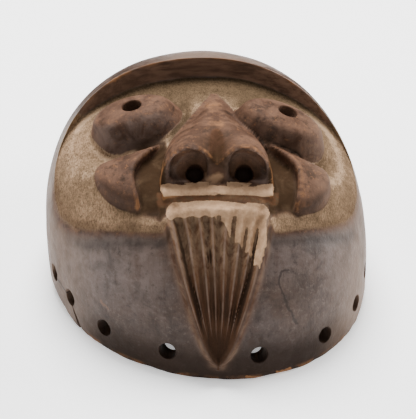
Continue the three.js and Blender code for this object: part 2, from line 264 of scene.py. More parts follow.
# Eyes: oval stumps with tilted tops, their sides splayed and blended into the field.
eyes = [
    dict(side=-1, middle=(-62.5, 1.5, 143.2), turn=-16, long=26.5, short=18, tilt=11,
         splay=0.45, lean=0.16),
    dict(side=1, middle=(50, -2.5, 140.8), turn=-19, long=28, short=18, tilt=16,
         splay=0.42, lean=0.0),
]
eye_reach = 58


def way_along(dx, dy, dz, axis):
    return dx * axis[0] + dy * axis[1] + dz * axis[2]


def eye_gap(x, y, z, side, middle, turn, long, short, tilt, splay, lean):
    """Distance from a stump over an oval turned in plan: its side splays and leans with the
    depth under the tilted top, and the top is crowned and rounded into the side."""
    tilt, turn = math.radians(tilt), math.radians(turn)
    n = np.array([side * math.sin(tilt), 0, math.cos(tilt)])
    e = np.array([side * math.cos(turn), math.sin(turn), 0])
    e = e - n * (e @ n)
    e = e / np.linalg.norm(e)
    f = np.cross(n, e)
    dx, dy, dz = x - middle[0], y - middle[1], z - middle[2]
    height = way_along(dx, dy, dz, n)
    p = way_along(dx, dy, dz, e) - lean * height
    q = way_along(dx, dy, dz, f) + side * 0.26 * height
    grow = -height * splay
    k = np.sqrt((p / (long + grow)) ** 2 + (q / (short + grow)) ** 2) + 1e-9
    flank = np.hypot(p, q) * (1 - 1 / k) * 0.92
    crown = height + 0.0040 * (p * p + q * q) - 0.7
    return soft_max(flank, crown, 5.0)


# Cheeks: comma-shaped pads whose sharp inner edge curls round the mouth.
def smooth_loop(corners):
    """A closed line with rounded corners: each of two passes cuts every corner at a quarter."""
    loop = np.array(corners, float)
    for _ in range(2):
        following = np.roll(loop, -1, 0)
        loop = np.stack([loop * 0.75 + following * 0.25, loop * 0.25 + following * 0.75], 1)
        loop = loop.reshape(-1, 2)
    return loop


def outline_gap(x, y, loop):
    """Distance outside a closed outline in plan: to its nearest side, with the sign
    turned at each side that a line from the point crosses."""
    nearest = np.full(x.shape, 1e9)
    sign = np.ones(x.shape)
    for a, b in zip(loop, np.roll(loop, 1, 0)):
        ex, ey = b - a
        wx, wy = x - a[0], y - a[1]
        t = np.clip((wx * ex + wy * ey) / (ex * ex + ey * ey), 0, 1)
        nearest = np.minimum(nearest, (wx - ex * t) ** 2 + (wy - ey * t) ** 2)
        above, below, turn = y >= a[1], y < b[1], ex * wy > ey * wx
        crossing = (above & below & turn) | (~above & ~below & ~turn)
        sign = np.where(crossing, -sign, sign)
    return sign * np.sqrt(nearest)


cheeks = [
    dict(middle=(-57, -43, 127.5), slope=0.34, crown=0.015, outline=smooth_loop([
        (-40, -22), (-50.5, -34.5), (-57, -48), (-58, -56), (-57, -63), (-55, -69),
        (-53.5, -74), (-59, -72.5), (-68.3, -68.5), (-77.5, -61), (-83.5, -52.5),
        (-86.5, -43), (-82, -32), (-73.5, -28), (-56, -26), (-39, -17)])),
    dict(middle=(55, -44, 126), slope=-0.47, crown=0.0145, outline=smooth_loop([
        (33, -22), (42, -27), (51.5, -38), (55.8, -48), (56, -61), (54.7, -69),
        (52.5, -75.5), (59, -74.5), (71.5, -67), (78.5, -57), (81, -46), (78, -34),
        (67.6, -31), (58, -28), (45, -20), (35, -16)])),
]


def cheek_gap(x, y, z, middle, slope, crown, outline):
    """Distance from a pad: inside its outline, and under a top that slopes along x and
    falls by the square of the way along y."""
    top = middle[2] + slope * (x - middle[0]) - crown * (y - middle[1]) ** 2
    return soft_max(outline_gap(x, y, outline) * 0.97, (z - top) * 0.86, 3.4)


# The nose: a pyramid that opens into two arches over cupped nostrils.
nose_root, nose_front = 36, -60
ridge_front, ridge_root, notch_depth = 148.2, 132.4, 13.5
wing_half, root_half, arch_half = 38.5, 4.5, 17


def nose_height(x, y):
    """Height over a section: at the front two quarter ovals fall to the wings from the
    tops of the arches, toward the root they turn into a roof, and a notch opens between
    the arches at the front and closes up the ridge."""
    along = np.clip((y - nose_front) / (nose_root - nose_front), 0, 1)
    half = root_half + (wing_half - root_half) * (1 - along ** 1.8)
    arch = arch_half * half / wing_half * (1 - 0.85 * along)
    base = 116 + 12 * along
    ridge = ridge_front + (ridge_root - ridge_front) * along
    notch = notch_depth * (1 - ease(0, 0.36, along))
    soft = 0.8 + 3.2 * along
    off = np.sqrt((x + 0.5) ** 2 + soft * soft) - soft
    over = np.maximum(off - arch, 0) / (half - arch)
    under = np.maximum(arch - off, 0) / arch
    oval, roof = np.sqrt(np.maximum(1 - over * over, 0)), np.maximum(1 - over, 0)
    side = oval + (roof - oval) * 0.8 * ease(0.15, 0.75, along)
    top = base + (ridge - base) * side - notch * (1 - np.cos(np.pi / 2 * under))
    return top - 4 * np.maximum(off - half, 0)


def nose_gap(x, y, z):
    """Distance from the nose: its height, cut off upright at the front and past the root."""
    gap = (z - nose_height(x, y)) * 0.55
    gap = soft_max(gap, nose_front - y, 4.5)
    return soft_max(gap, y - nose_root - 4, 4)


# A cup is scooped into the front of the nose under each arch, as deep as a thumb pad.
cup_middles, cup_half, cup_foot, cup_margin, cup_depth = (-20.5, 21.0), 13.2, 120.8, 1.5, 10.0


def cup_mouth_gap(x, z, middle_x):
    """Distance outside the mouth of a cup, seen from the front: an even margin under the
    arch, above the lip, and within a half width of its middle."""
    under = (z - nose_height(x, nose_front + 1.0)) * 0.6 + cup_margin
    return soft_max(under, soft_max(np.abs(x - middle_x) - cup_half, cup_foot - z, 5.0), 6.0)


# The mouth: the upper lip is a square bar, and the block under it a rounder one.
lip_sag, block_sag = 0.0012, 0.0022


def bar_gap(x, y, z, half, back_y, front_y, top, bottom, sag, tip, corner):
    """Distance from a box with rounded edges that sags by the square of x and tips
    forward by a slope."""
    drop = z + sag * x * x - tip * (y - front_y)
    qx = np.abs(x) - half + corner
    qy = np.abs(y - (back_y + front_y) / 2) - (back_y - front_y) / 2 + corner
    qz = np.abs(drop - (top + bottom) / 2) - (top - bottom) / 2 + corner
    out = np.sqrt(np.maximum(qx, 0) ** 2 + np.maximum(qy, 0) ** 2 + np.maximum(qz, 0) ** 2)
    return out + np.minimum(np.maximum(qx, np.maximum(qy, qz)), 0) - corner


def lip_gap(x, y, z):
    return bar_gap(x, y, z, half=38.5, back_y=-44, front_y=-70, top=117.6, bottom=90,
                   sag=lip_sag, tip=0.09, corner=1.2)


def block_gap(x, y, z):
    return bar_gap(x, y, z, half=35, back_y=-50, front_y=-82.5, top=111, bottom=70,
                   sag=block_sag, tip=0.0, corner=5.0)


# The beard: a pointed panel of flutes on the jaw between two ridges.
beard_x, beard_top, beard_tip, beard_half = 0.5, 101, 15, 33
flute_share, flute_middle = 0.283, 0.02


def beard_sides(x, z):
    """Distance outside the slanting sides of the panel, and the place across it counted in
    flutes from the middle one, warped so that no two flutes are alike."""
    rise = np.clip((z - beard_tip) / (beard_top - beard_tip), 0.004, 1.3)
    half = beard_half * rise ** (0.68 + 0.14 * rise)
    across = (x - beard_x) / half
    side = (np.abs(x - beard_x) - half * 1.04) * 0.94
    warp = 0.018 * np.sin(across * 7.3 + 1.1) + 0.014 * np.sin(z * 0.09 + across * 5)
    return side, (across - flute_middle + warp) / flute_share


def beard_ridge(x, z):
    """Height over the jaw of the two ridges: a bell across the side of the panel, faded
    out at the tip and at the lip."""
    side, flute = beard_sides(x, z)
    return 4.0 * bell(side - 0.6, 3.0) * ease(beard_tip - 9, beard_tip + 4, z) * ease(109, 100, z)


def beard_flutes(x, z):
    """Depth under the jaw: a shallow sunk ground, and in it grooves as a cosine of the
    flute count with rounded floors and narrow crests, dying out toward the tip."""
    side, flute = beard_sides(x, z)
    inside = ease(0.8, -3.4, side + 1.2)
    wave = 0.5 + 0.5 * np.cos(flute * 2 * np.pi)
    depth = 2.4 * ease(28, 52, z) * ease(111.5, 106, z)
    ground = 1.5 * ease(106, 88, z) * ease(beard_tip - 3, beard_tip + 7, z)
    return inside * (ground + depth * wave ** 0.6)


# Holes round the rim for the cords that tie the mask, with softened mouths. They fall a
# little inward, so that the floor is seen through the two at the front.
cord_hole_radius, cord_hole_fall = 6.3, 0.2
cord_holes = [
    (-118.2, -41.8, 25.9), (-105.7, -65.6, 21.3), (-79.8, -95.5, 17.9), (-34.8, -121.2, 18.7),
    (28.8, -126.5, 19.7), (76.9, -103.1, 17.5), (102.1, -69, 18.9), (111.3, -40.9, 27.6),
    (-125, 12, 24), (-110, 72, 22), (-62, 124, 22), (0, 142, 22), (62, 118, 22), (102, 68, 22),
    (116, 12, 24),
]
eye_holes = [((-61, 3, 143.2), (0.191, 0, -0.982)), ((52.5, 1.5, 140.8), (-0.276, 0, -0.961))]
eye_hole_radius = 7.3
nostrils = [((-15.8, -60, 131), (0, 0.527, -0.850)), ((18.6, -60, 131), (0, 0.527, -0.850))]
nostril_radius, nostril_depth = 6.2, 19


def bore_gap(x, y, z, start, axis, radius):
    """Distance from a round bore: off its axis, less its radius. Also the way along it."""
    dx, dy, dz = x - start[0], y - start[1], z - start[2]
    t = way_along(dx, dy, dz, axis)
    return np.sqrt(np.maximum(dx * dx + dy * dy + dz * dz - t * t, 0)) - radius, t


# The carved face: all of these forms as one distance, which is below zero in the wood. A
# grid is bent over the dome and pressed in until it meets the face, and then evened out.
def crest_share(y):
    """1 where the crest is a solid of its own, 0 at the jaw, where the face is its own edge."""
    return ease(-28, 4, y)


def carved_gap(x, y, z):
    """Distance from the whole carved face: the dome cut back by the field, joined to
    each feature with a rounded corner, and opened at each nostril. A feature is worked
    out only for the points near it."""
    shell = shell_gap(x, y, z)
    floor_gap = field_gap(x, y, z, shell)
    edge = field_edge(x, y)
    jaw_side = ease(10, -45, y)
    sunk = crest_share(y)
    rough = 0.35 * grain_noise(x, y, z, 5.5, 3) + 0.3 * grain_noise(x, y, z, 11, 4)
    wall_gap = 0.35 * sunk - edge * (1 - 0.55 * jaw_side)
    crest = soft_max(shell + 1.3 * sunk, wall_gap, 1.0 + 5.0 * jaw_side)
    gap = soft_min(floor_gap + rough, crest, 3.5 + 3.5 * jaw_side)
    gap = gap + 0.35 * grain_noise(x, y, z, 26, 1)
    gap = gap + 0.7 * bell(edge - 5.5, 3.4) * ease(-45, -62, y)

    def join(near, feature, width):
        gap[near] = soft_min(gap[near], feature(x[near], y[near], z[near]), width)

    panel = (y < -40) & (z < 116) & (np.abs(x - beard_x) < 48)
    gap[panel] -= beard_ridge(x[panel], z[panel])
    for eye in eyes:
        near = np.hypot(x - eye["middle"][0], y - eye["middle"][1]) < eye_reach
        join(near, lambda a, b, c: eye_gap(a, b, c, **eye), 2.6)
    low = (y < 6) & (y > -98) & (z > 60)
    for cheek in cheeks:
        off = x * np.sign(cheek["middle"][0])
        near = low & (off > 14) & (off < 110)
        join(near, lambda a, b, c: cheek_gap(a, b, c, **cheek), 2.2)
    middle = (np.abs(x) < 60) & (z > 50)
    join(middle & (y < 0), block_gap, 1.4)
    gap[panel] += beard_flutes(x[panel], z[panel])
    join(middle & (y < 58), nose_gap, 2.0)
    join(middle & (y < 0), lip_gap, 0.9)
    bored = (np.abs(x) < 30) & (y < -20) & (z > 90)
    for start, axis in nostrils:
        bore, t = bore_gap(x[bored], y[bored], z[bored], start, axis, nostril_radius)
        gap[bored] = soft_max(gap[bored], -soft_max(bore, t - nostril_depth, 3), 1.6)
    return soft_max(gap, -z, 2.4)


def carve(u, v, far=44.0, near=-58.0, steps=68):
    """Each grid point starts outside the dome and moves in along its own line until it
    meets the carved face, and halving then settles it on the surface. On the crown side
    the lines lean to the middle of the field near its edge, so that they meet its wall."""
    start = shell_point(u, v)
    x, y = start[..., 0], start[..., 1]
    lean_x = x / np.where(x < 0, shell_left, shell_right)
    lean_y = (y - summit_lean_y) / np.where(y < summit_lean_y, shell_chin, shell_crown)
    lean_z = start[..., 2] / shell_height
    line = np.stack([1.2 * lean_x ** 3, 1.16 * lean_y - 0.42 * lean_z, lean_z], -1)
    line /= np.linalg.norm(line, axis=-1, keepdims=True)
    inward_x, inward_y = field_x - x, field_y - y
    inward = np.hypot(inward_x, inward_y) + 1e-9
    crest = 0.85 * bell(field_edge(x, y), 24) * ease(-25, 35, y)
    line[..., 0] += crest * inward_x / inward
    line[..., 1] += crest * inward_y / inward
    line /= np.linalg.norm(line, axis=-1, keepdims=True)
    inner = np.full(u.shape, near)
    open_rays = np.ones(u.shape, bool)
    stride = (far - near) / steps
    for step in range(steps + 1):
        t = far - stride * step
        p = start[open_rays] + line[open_rays] * t
        met = carved_gap(p[:, 0], p[:, 1], p[:, 2]) < 0
        rows = np.flatnonzero(open_rays)[met]
        inner.flat[rows] = t
        open_rays.flat[rows] = False
        if not open_rays.any():
            break

    def in_wood(t):
        p = start + line * t[..., None]
        return carved_gap(p[..., 0], p[..., 1], p[..., 2]) < 0

    inner, outer = halving(in_wood, inner, inner + stride, 10)
    return start + line * ((inner + outer) / 2)[..., None]


def slope_of(x, y, z, step=0.25):
    """Direction in which the gap grows, and the gap, from four points round each one."""
    total, level = 0, 0
    for sx, sy, sz in ((1, -1, -1), (-1, -1, 1), (-1, 1, -1), (1, 1, 1)):
        gap = carved_gap(x + sx * step, y + sy * step, z + sz * step)
        total = total + np.stack([sx * gap, sy * gap, sz * gap], -1)
        level = level + gap
    return total / (4 * step), level / 4


mouth_middle = np.array([0.0, -62.0, 126.0])


def round_about(grid):
    return grid[:-2, 1:-1] + grid[2:, 1:-1] + grid[1:-1, :-2] + grid[1:-1, 2:]


def even_out(points, rounds, slide=0.65):
    """Grid points slide toward the middle of their neighbours, those near the mouth
    pulling harder, and are brought back onto the surface, so that steep walls and fine
    carving get their share of points."""
    for _ in range(rounds):
        pull = 1 + 2.2 * np.exp(-(((points - mouth_middle) / (42, 34, 40)) ** 2).sum(-1))[..., None]
        middle = round_about(points * pull) / round_about(pull)
        moved = points[1:-1, 1:-1] * (1 - slide) + middle * slide
        slope, gap = slope_of(moved[..., 0], moved[..., 1], moved[..., 2])
        size = np.maximum((slope * slope).sum(-1), 0.2)
        shift = np.clip(gap / size, -1.2, 1.2)
        moved = moved - slope * shift[..., None]
        moved[..., 2] = np.maximum(moved[..., 2], 0.15)
        points[1:-1, 1:-1] = moved
    return points


columns, rows = ((308, 280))
u_line = np.linspace(-1, 1, columns)
v_line = np.linspace(-1, 1, rows)
u_line = u_line * (0.72 + 0.28 * u_line ** 2)
v_line = v_line + 0.16 * (v_line ** 2 - 1) * (1 - v_line * 0.6)
u_grid, v_grid = np.meshgrid(u_line, v_line, indexing="ij")
face = even_out(carve(u_grid, v_grid), 44)


def set_down(grid):
    """The border of a grid is laid on the plane of the rim."""
    for border in (grid[0], grid[-1], grid[:, 0], grid[:, -1]):
        border[:, 2] = 0


set_down(face)


# Closed solids from grids and rings: the mask itself, and the tools that cut it.
def grid_faces(wide, deep):
    """Squares of a grid whose points are counted along its second direction first."""
    corner = (np.arange(wide - 1)[:, None] * deep + np.arange(deep - 1)).reshape(-1)
    return np.stack([corner, corner + deep, corner + deep + 1, corner + 1], 1)


def edge_walk(wide, deep):
    """The points round the border of a grid, in order."""
    return np.concatenate([
        np.arange(wide) * deep, (wide - 1) * deep + np.arange(1, deep),
        np.arange(wide - 2, -1, -1) * deep + deep - 1, np.arange(deep - 2, 0, -1),
    ])


def add_solid(name, points, faces):
    mesh = bpy.data.meshes.new(name)
    mesh.from_pydata([tuple(p) for p in (points + nose_line_at) * 0.001], [], faces)
    return put_in(name, mesh)


def closed_cap(name, grid, floor_z):
    """A grid bent over a hollow, closed below by one flat face, and by a skirt down to it
    where the border of the grid stands higher."""
    wide, deep = grid.shape[:2]
    points = grid.reshape(-1, 3)
    border = edge_walk(wide, deep)
    foot = points[border].copy()
    foot[:, 2] = floor_z
    low = np.arange(len(border)) + len(points)
    skirt = np.stack([border, np.roll(border, -1), np.roll(low, -1), low], 1)[:, ::-1]
    faces = [tuple(f) for f in grid_faces(wide, deep)]
    if floor_z < points[border, 2].min():
        points = np.concatenate([points, foot])
        faces += [tuple(f) for f in skirt]
        faces.append(tuple(low[::-1]))
    else:
        faces.append(tuple(border[::-1]))
    return add_solid(name, points, faces)


def stacked(name, rings):
    """A closed solid through rings of equally many points, flat at both ends."""
    sides = len(rings[0])
    low = np.arange(sides)
    faces = []
    for k in range(len(rings) - 1):
        near = low + k * sides
        after = np.roll(near, -1)
        faces += [tuple(f) for f in np.stack([near, after, after + sides, near + sides], 1)]
    faces += [tuple(low[::-1]), tuple(low + (len(rings) - 1) * sides)]
    return add_solid(name, np.concatenate(rings), faces)


mask = closed_cap("mask_wood", face, 0.0)

# The crest is made as a dome of its own with the field cut out of it, so that its edge
# is one clean line, and is joined to the face. Toward the jaw it sinks into the face.
def even_grid(count):
    line = np.linspace(-1, 1, count)
    return np.meshgrid(line, line, indexing="ij")


dome_grid = even_grid(150)
dome = shell_point(*dome_grid)
sunk = 1.2 * (1 - crest_share(dome[..., 1])) + 9 * ease(-40, -75, dome[..., 1])
dome = shell_point(*dome_grid, sunk)
hewn = 0.35 * grain_noise(dome[..., 0], dome[..., 1], dome[..., 2], 26, 1)
dome *= (1 - hewn / np.linalg.norm(dome, axis=-1))[..., None]
set_down(dome)
crest = closed_cap("crest", dome, 0.0)


def field_outline(bearing, outset):
    """Point of the field's outline at a bearing, moved outward: halving along the ray
    finds where the distance to the outline equals the outset."""
    def at(reach):
        return field_x + reach * np.cos(bearing), field_y + reach * np.sin(bearing)

    return at(halving(lambda reach: field_edge(*at(reach)) < outset, 20.0, 200.0)[0])


def dome_height(x, y):
    """Height of the dome over a point, by halving."""
    return halving(lambda height: shell_gap(x, y, height) < 0, 0.0, 180.0)[0]


def field_tool():
    """A well with the outline of the field, whose wall opens in a small quarter round
    where it meets the dome."""
    sides, mouth = 360, 1.1
    bearing = np.arange(sides) * 2 * np.pi / sides
    x, y = field_outline(bearing, 0.0)
    lip = dome_height(x, y)
    rows = [(0.0, np.full(sides, 38.0))]
    rows += [(0.0, lip - depth) for depth in (30, 26, 22, 18, 14, 10, 7, 4)]
    for turn in np.linspace(0, np.pi / 2, 5):
        rows.append((mouth * (1 - np.cos(turn)), lip - mouth * (1 - np.sin(turn))))
    rows.append((mouth + 5.0, lip + 2.0))
    rows.append((mouth + 5.0, np.full(sides, 190.0)))
    rings = []
    for outset, height in rows:
        x, y = field_outline(bearing, outset)
        nicks = 0.3 * grain_noise(x, y, height, 9, 6) if outset == 0 else 0
        x, y = x + nicks * np.cos(bearing), y + nicks * np.sin(bearing)
        rings.append(np.stack([x, y, height], -1))
    return stacked("field_tool", rings)


# The hollow behind the face, one wall in from the dome and under the scooped field.
hollow = shell_point(*even_grid(62), wall)
ceiling = field_plain(hollow[..., 0], hollow[..., 1]) - 1.6 * wall
hollow[..., 2] = soft_min(hollow[..., 2], ceiling, 12)
adze = 0.7 * grain_noise(hollow[..., 0], hollow[..., 1], hollow[..., 2], 14, 8)
hollow[1:-1, 1:-1, 2] += adze[1:-1, 1:-1]
set_down(hollow)
hollow_tool = closed_cap("hollow_tool", hollow, -6.0)


# Holes: rods for the nostrils, and rods with a widened mouth for the eyes and the cords.
def drill(name, start, axis, depths, radii, sides=36):
    """A closed rod turned about an axis, with its own radius at each depth."""
    axis = Vector(axis).normalized()
    side = axis.orthogonal().normalized()
    other = axis.cross(side)
    angles = np.arange(sides) * 2 * np.pi / sides
    ring = np.outer(np.cos(angles), side) + np.outer(np.sin(angles), other)
    start, axis = np.array(start), np.array(axis)
    return stacked(name, [start + axis * depth + ring * radius for depth, radius in zip(depths, radii)])


def meeting(start, axis):
    """Where a line meets the carved face near its start, by halving."""
    start, axis = np.array(start, float), np.array(Vector(axis).normalized())

    def in_wood(t):
        return carved_gap(*(np.array([c]) for c in start + axis * t))[0] < 0

    return start + axis * halving(in_wood, 9.0, -9.0, 24)[1]


def mouthed_drill(name, start, axis, radius, mouth, reach):
    """A rod whose first part opens in a quarter round at the carved face, for a hole with
    a worn mouth."""
    turn = np.linspace(0, np.pi / 2, 7)
    depths = [-3.0, *(mouth * (1 - np.cos(turn))), reach]
    radii = [radius + mouth + 0.8, *(radius + mouth * (1 - np.sin(turn))), radius]
    return drill(name, meeting(start, axis), axis, depths, radii)


def cup_tool(name, middle_x):
    """A bowl lying on its side: rings follow the mouth of the cup, opened by a quarter
    round at the front of the nose, wider on both sides than under the arch, and drawn in as
    a quarter oval toward the back."""
    middle_z = 131.0
    bearing = np.arange(64) * 2 * np.pi / 64
    along_x, along_z = np.cos(bearing), -np.sin(bearing)

    def in_mouth(reach):
        return cup_mouth_gap(middle_x + reach * along_x, middle_z + reach * along_z, middle_x) < 0

    half = halving(in_mouth, 1.0, 40.0, 26)[0]
    outward = along_x * np.sign(middle_x)
    inward = np.maximum(-outward, -0.4 * along_z)
    mouth = 1.2 + 2.6 * ease(0.2, 0.9, inward) + 2.0 * ease(0.4, 0.95, outward)
    rows = [(-14.0, half + mouth + 1.0), (-0.6, half + mouth)]
    for turn in np.linspace(0.3, 1.5, 5):
        rows.append((mouth * (1 - np.cos(turn)), half + mouth * (1 - np.sin(turn))))
    for turn in np.linspace(0.1, 1.5, 14):
        rows.append((mouth + (cup_depth - mouth) * np.sin(turn), half * np.cos(turn)))
    return stacked(name, [
        np.stack(np.broadcast_arrays(
            middle_x + along_x * reach, nose_front + depth, middle_z + along_z * reach), -1)
        for depth, reach in rows])


# The split under the second hole on the left runs through the wall to the rim, where
# a chip has broken out of it.
split_line = np.array([
    (-97.5, -78.5, -3.0), (-98.3, -77.3, 0.5), (-99.4, -75.4, 4.0), (-101.2, -72.6, 9.0),
    (-102.9, -69.9, 13.5), (-104.6, -67.3, 18.0),
])
split_widths = np.array([7.0, 5.6, 4.4, 3.2, 2.4, 1.6])


def split_tool():
    """Thin sections along the crack, each a narrow oblong reaching through the wall."""
    reach = np.array([[9], [9], [-22], [-22]]) * (-0.80, -0.60, 0.0)
    sideways = np.array([[-1], [1], [1], [-1]]) * (0.60, -0.80, 0.0)
    return stacked("split_tool", [
        place + reach + sideways * (width / 2) for place, width in zip(split_line, split_widths)])


tools = [hollow_tool, split_tool()]
for i, middle_x in enumerate(cup_middles):
    tools.append(cup_tool(f"cup_tool_{i}", middle_x))
for i, (start, axis) in enumerate(nostrils):
    depths = [0, nostril_depth - 5, nostril_depth - 2, nostril_depth - 0.5]
    radii = [nostril_radius, nostril_radius, nostril_radius * 0.8, nostril_radius * 0.4]
    tools.append(drill(f"nostril_tool_{i}", start, axis, depths, radii))
for i, (start, axis) in enumerate(eye_holes):
    tools.append(mouthed_drill(f"eye_tool_{i}", start, axis, eye_hole_radius - 0.2, 1.6, 60))
for i, hole in enumerate(cord_holes):
    inward = (-hole[0], -hole[1], -cord_hole_fall * math.hypot(hole[0], hole[1]))
    tools.append(mouthed_drill(f"cord_tool_{i}", hole, inward, cord_hole_radius - 0.2, 1.0, 34))


def cut(piece, tool, way="DIFFERENCE"):
    step = piece.modifiers.new("cut", "BOOLEAN")
    step.operation = way
    step.solver = "MANIFOLD"
    step.object = tool


well = field_tool()
cut(crest, well)
cut(mask, crest, "UNION")
for tool in tools:
    cut(mask, tool)
worked = bpy.data.meshes.new_from_object(mask.evaluated_get(bpy.context.evaluated_depsgraph_get()))
mask.modifiers.clear()
mask.data = worked
for tool in [well, crest] + tools:
    bpy.data.objects.remove(tool)
worked.shade_smooth()
worked.set_sharp_from_angle(angle=math.radians(50))

# What the finish follows, worked out at every point of the mesh: where the clay dust
# lies, how hollow or how sharp the carving is, where the pale paint is left, which
# faces are inside, and where shade and sheen are painted.
points = np.empty(len(worked.vertices) * 3)
worked.vertices.foreach_get("co", points)
x, y, z = (points.reshape(-1, 3) * 1000 - nose_line_at).T
slope, gap = slope_of(x, y, z)
steepness = np.linalg.norm(slope, axis=-1) + 1e-6
out_x, out_y, out_z = (slope / steepness[:, None]).T


def gap_along(reach):
    """How much the gap grows to a point moved out by a reach, as a share of what the slope
    says: 1 over flat ground, and less in a hollow, or inward from an edge."""
    moved = carved_gap(x + out_x * reach, y + out_y * reach, z + out_z * reach)
    return (moved - gap) / (steepness * reach)


# Distances from the parts of the mask, and which part a point is on.
shell, edge = shell_gap(x, y, z), field_edge(x, y)
over_floor = field_gap(x, y, z, shell)
nose_near = nose_gap(x, y, z)
cheek_near = np.minimum(*(cheek_gap(x, y, z, **cheek) for cheek in cheeks))
eye_near = np.minimum(*(eye_gap(x, y, z, **eye) for eye in eyes))
feature_near = np.minimum(np.minimum(cheek_near, nose_near), eye_near)
lip_near = lip_gap(x, y, z)
off_middle = np.abs(x + 0.5)
on_crest = crest_share(y) * ease(-2.0, -0.6, edge) * (z > 60)
on_cheek = ease(2.5, 1.0, cheek_near)
raised = ease(5.0, 1.0, edge + 5.5 * crest_share(y))
outer_dome = ease(-2.4, -1.4, shell) * np.where(y > -20, ease(-1, 1, edge), ease(-6, 0, edge))
# Inside are the hollow and the bores: deep under the carved face, and not on the dome.
inner = ease(-1.6, -3.0, gap) * (1 - outer_dome)
inner = np.where((y > -28) & (edge > -1.5) & (z > 60), inner * ease(-9, -12, shell), inner)
side, flute = beard_sides(x, z)
on_panel = ease(1.2, -0.8, side) * (y < -60) * (z < 110.5) * (z > beard_tip - 5)
groove = on_panel * (0.5 + 0.5 * np.cos(flute * 2 * np.pi))
rough_tip = on_panel * ease(48, 30, z)
panel_rim = bell(side - 2.4, 3.4) * (y < -60) * ease(106, 100, z) * ease(beard_tip - 8, beard_tip, z)

# The cups and nostrils of the nose.
cup_gap = np.minimum(*(cup_mouth_gap(x, z, middle_x) for middle_x in cup_middles))
at_cups = (y < -44) & (y > -64) & (z > 108)
in_cup = ease(0.6, -0.6, cup_gap) * at_cups * ease(-60.2, -59.4, y)
under_arch = nose_height(x, nose_front + 1.0) - z
arch_rim = bell(under_arch - 0.9, 1.5) * ease(-55.5, -58.5, y) * (y > -66) * ease(118, 123, z)
bores = [bore_gap(x, y, z, start, axis, nostril_radius) for start, axis in nostrils]
# Painted shade: the walls of the nostril bores are painted near black.
nostril_wall = np.maximum(*(ease(0.8, 0.1, off) * ease(2, 7, t) * (t < 26) for off, t in bores))
nostril_wall = nostril_wall * (y < -40)
# Painted shade inside each cup, growing darker toward the nostril.
deep_in_cup = in_cup * (0.25 + 0.75 * ease(8.5, 1.0, np.minimum(bores[0][0], bores[1][0])))
inner = inner * (1 - at_cups * (cup_gap < 3))
# Painted shade and dirt on the scoop behind the notch of the nose.
notch_back = bell(off_middle, 6 + 6 * ease(-18, -48, y)) * (z > 120)
notch_back = notch_back * ease(-8, -34, y) * ease(-66, -61, y)

# Hollows that get painted shade and dirt, and edges that wear.
hollow_near = np.clip(1 - gap_along(3.0), 0, 1) * (1 - on_crest)
hollow_near = hollow_near * (1 - 0.75 * at_cups * (under_arch > 0))
hollow_wide = np.clip(1 - gap_along(10.0), 0, 1) * (1 - on_crest)
sharp = np.clip(1 - gap_along(-3.0), 0, 1) * (1 - 0.35 * on_cheek)
sharp = np.maximum(sharp, (0.75 - 0.5 * on_cheek) * np.clip(1 - gap_along(-7.0), 0, 1))
sharp = sharp * (1 - on_crest) * (edge < 2)
ridge = ease(12, 3, off_middle) * ease(-38, -18, y) * ease(36, 22, y) * (z > 125) * (nose_near < 1.5)
sharp = np.maximum(sharp, 0.3 * ridge) * (1 - at_cups * (under_arch > 2.0) * (off_middle < 37))
crest_edge = bell(edge - 0.4, 1.6) * ease(15, 40, y) * ease(-4, -1, shell)
worn = np.maximum(np.maximum(sharp, 0.38 * crest_edge), 0.48 * arch_rim)
rim_wear = ease(5.5, 2.0, z) * (1 - inner)

# Painted shade in the valleys between the mouth and the cheeks, and on the ground beside the nose root.
valley = ease(32, 37, off_middle) * ease(66, 52, off_middle) * ease(-84, -72, y) * ease(-6, -24, y)
valley = valley * ease(-1.5, 1.0, nose_near) * np.maximum(ease(0.2, 1.8, cheek_near), sharp < 0.05)
valley = valley * ease(9, 4, over_floor)
lip_ends = ease(34.8, 36.0, off_middle) * ease(45, 38.5, off_middle) * ease(-84, -78, y)
valley = np.maximum(valley, lip_ends * (y < -44) * (z > 92))
between = ease(13, 4, np.abs(off_middle - 25)) * ease(-26, -14, y) * ease(44, 22, y)
between = between * ease(9, 4, over_floor)

# Clay dust on the field floor, up to the foot of each feature and a little way up the eyes.
mouth = ease(47, 38, off_middle) * ease(-44, -52, y) * ease(-84, -80, y) * (z > 100)
no_wall = ease(33, 20, y)
lift = over_floor * (1 - no_wall * ease(-12, -5, edge))
dust = ease(1.0 + 3.0 * no_wall, -2.5 + 0.5 * no_wall, edge) * ease(4.5, 1.5, lift)
dust = dust * ease(-5, -2.5, over_floor)
dust = dust * (1 - 0.95 * valley) * (1 - inner) * (1 - on_panel) * (1 - 0.75 * mouth)
creeping = 0.8 * ease(3.0, 0.8, over_floor) * (eye_near < feature_near + 0.5)
creeping = creeping * (nose_near > 2) * (cheek_near > 1)
dust = dust * np.maximum(ease(0.3, 1.6, feature_near), creeping) * (1 - in_cup) * (1 - nostril_wall)
margin = ease(-7, 2, edge) * np.where(x < 0, 1.0, 0.6) * ease(30, -20, y) * ease(4.5, 1.5, lift)
# A painted shadow line along the outside of the field's lower edge on the jaw.
ledge_shadow = bell(edge - 5.8, 2.6) * ease(-45, -60, y) * (1 - on_panel) * ease(60, 75, z)

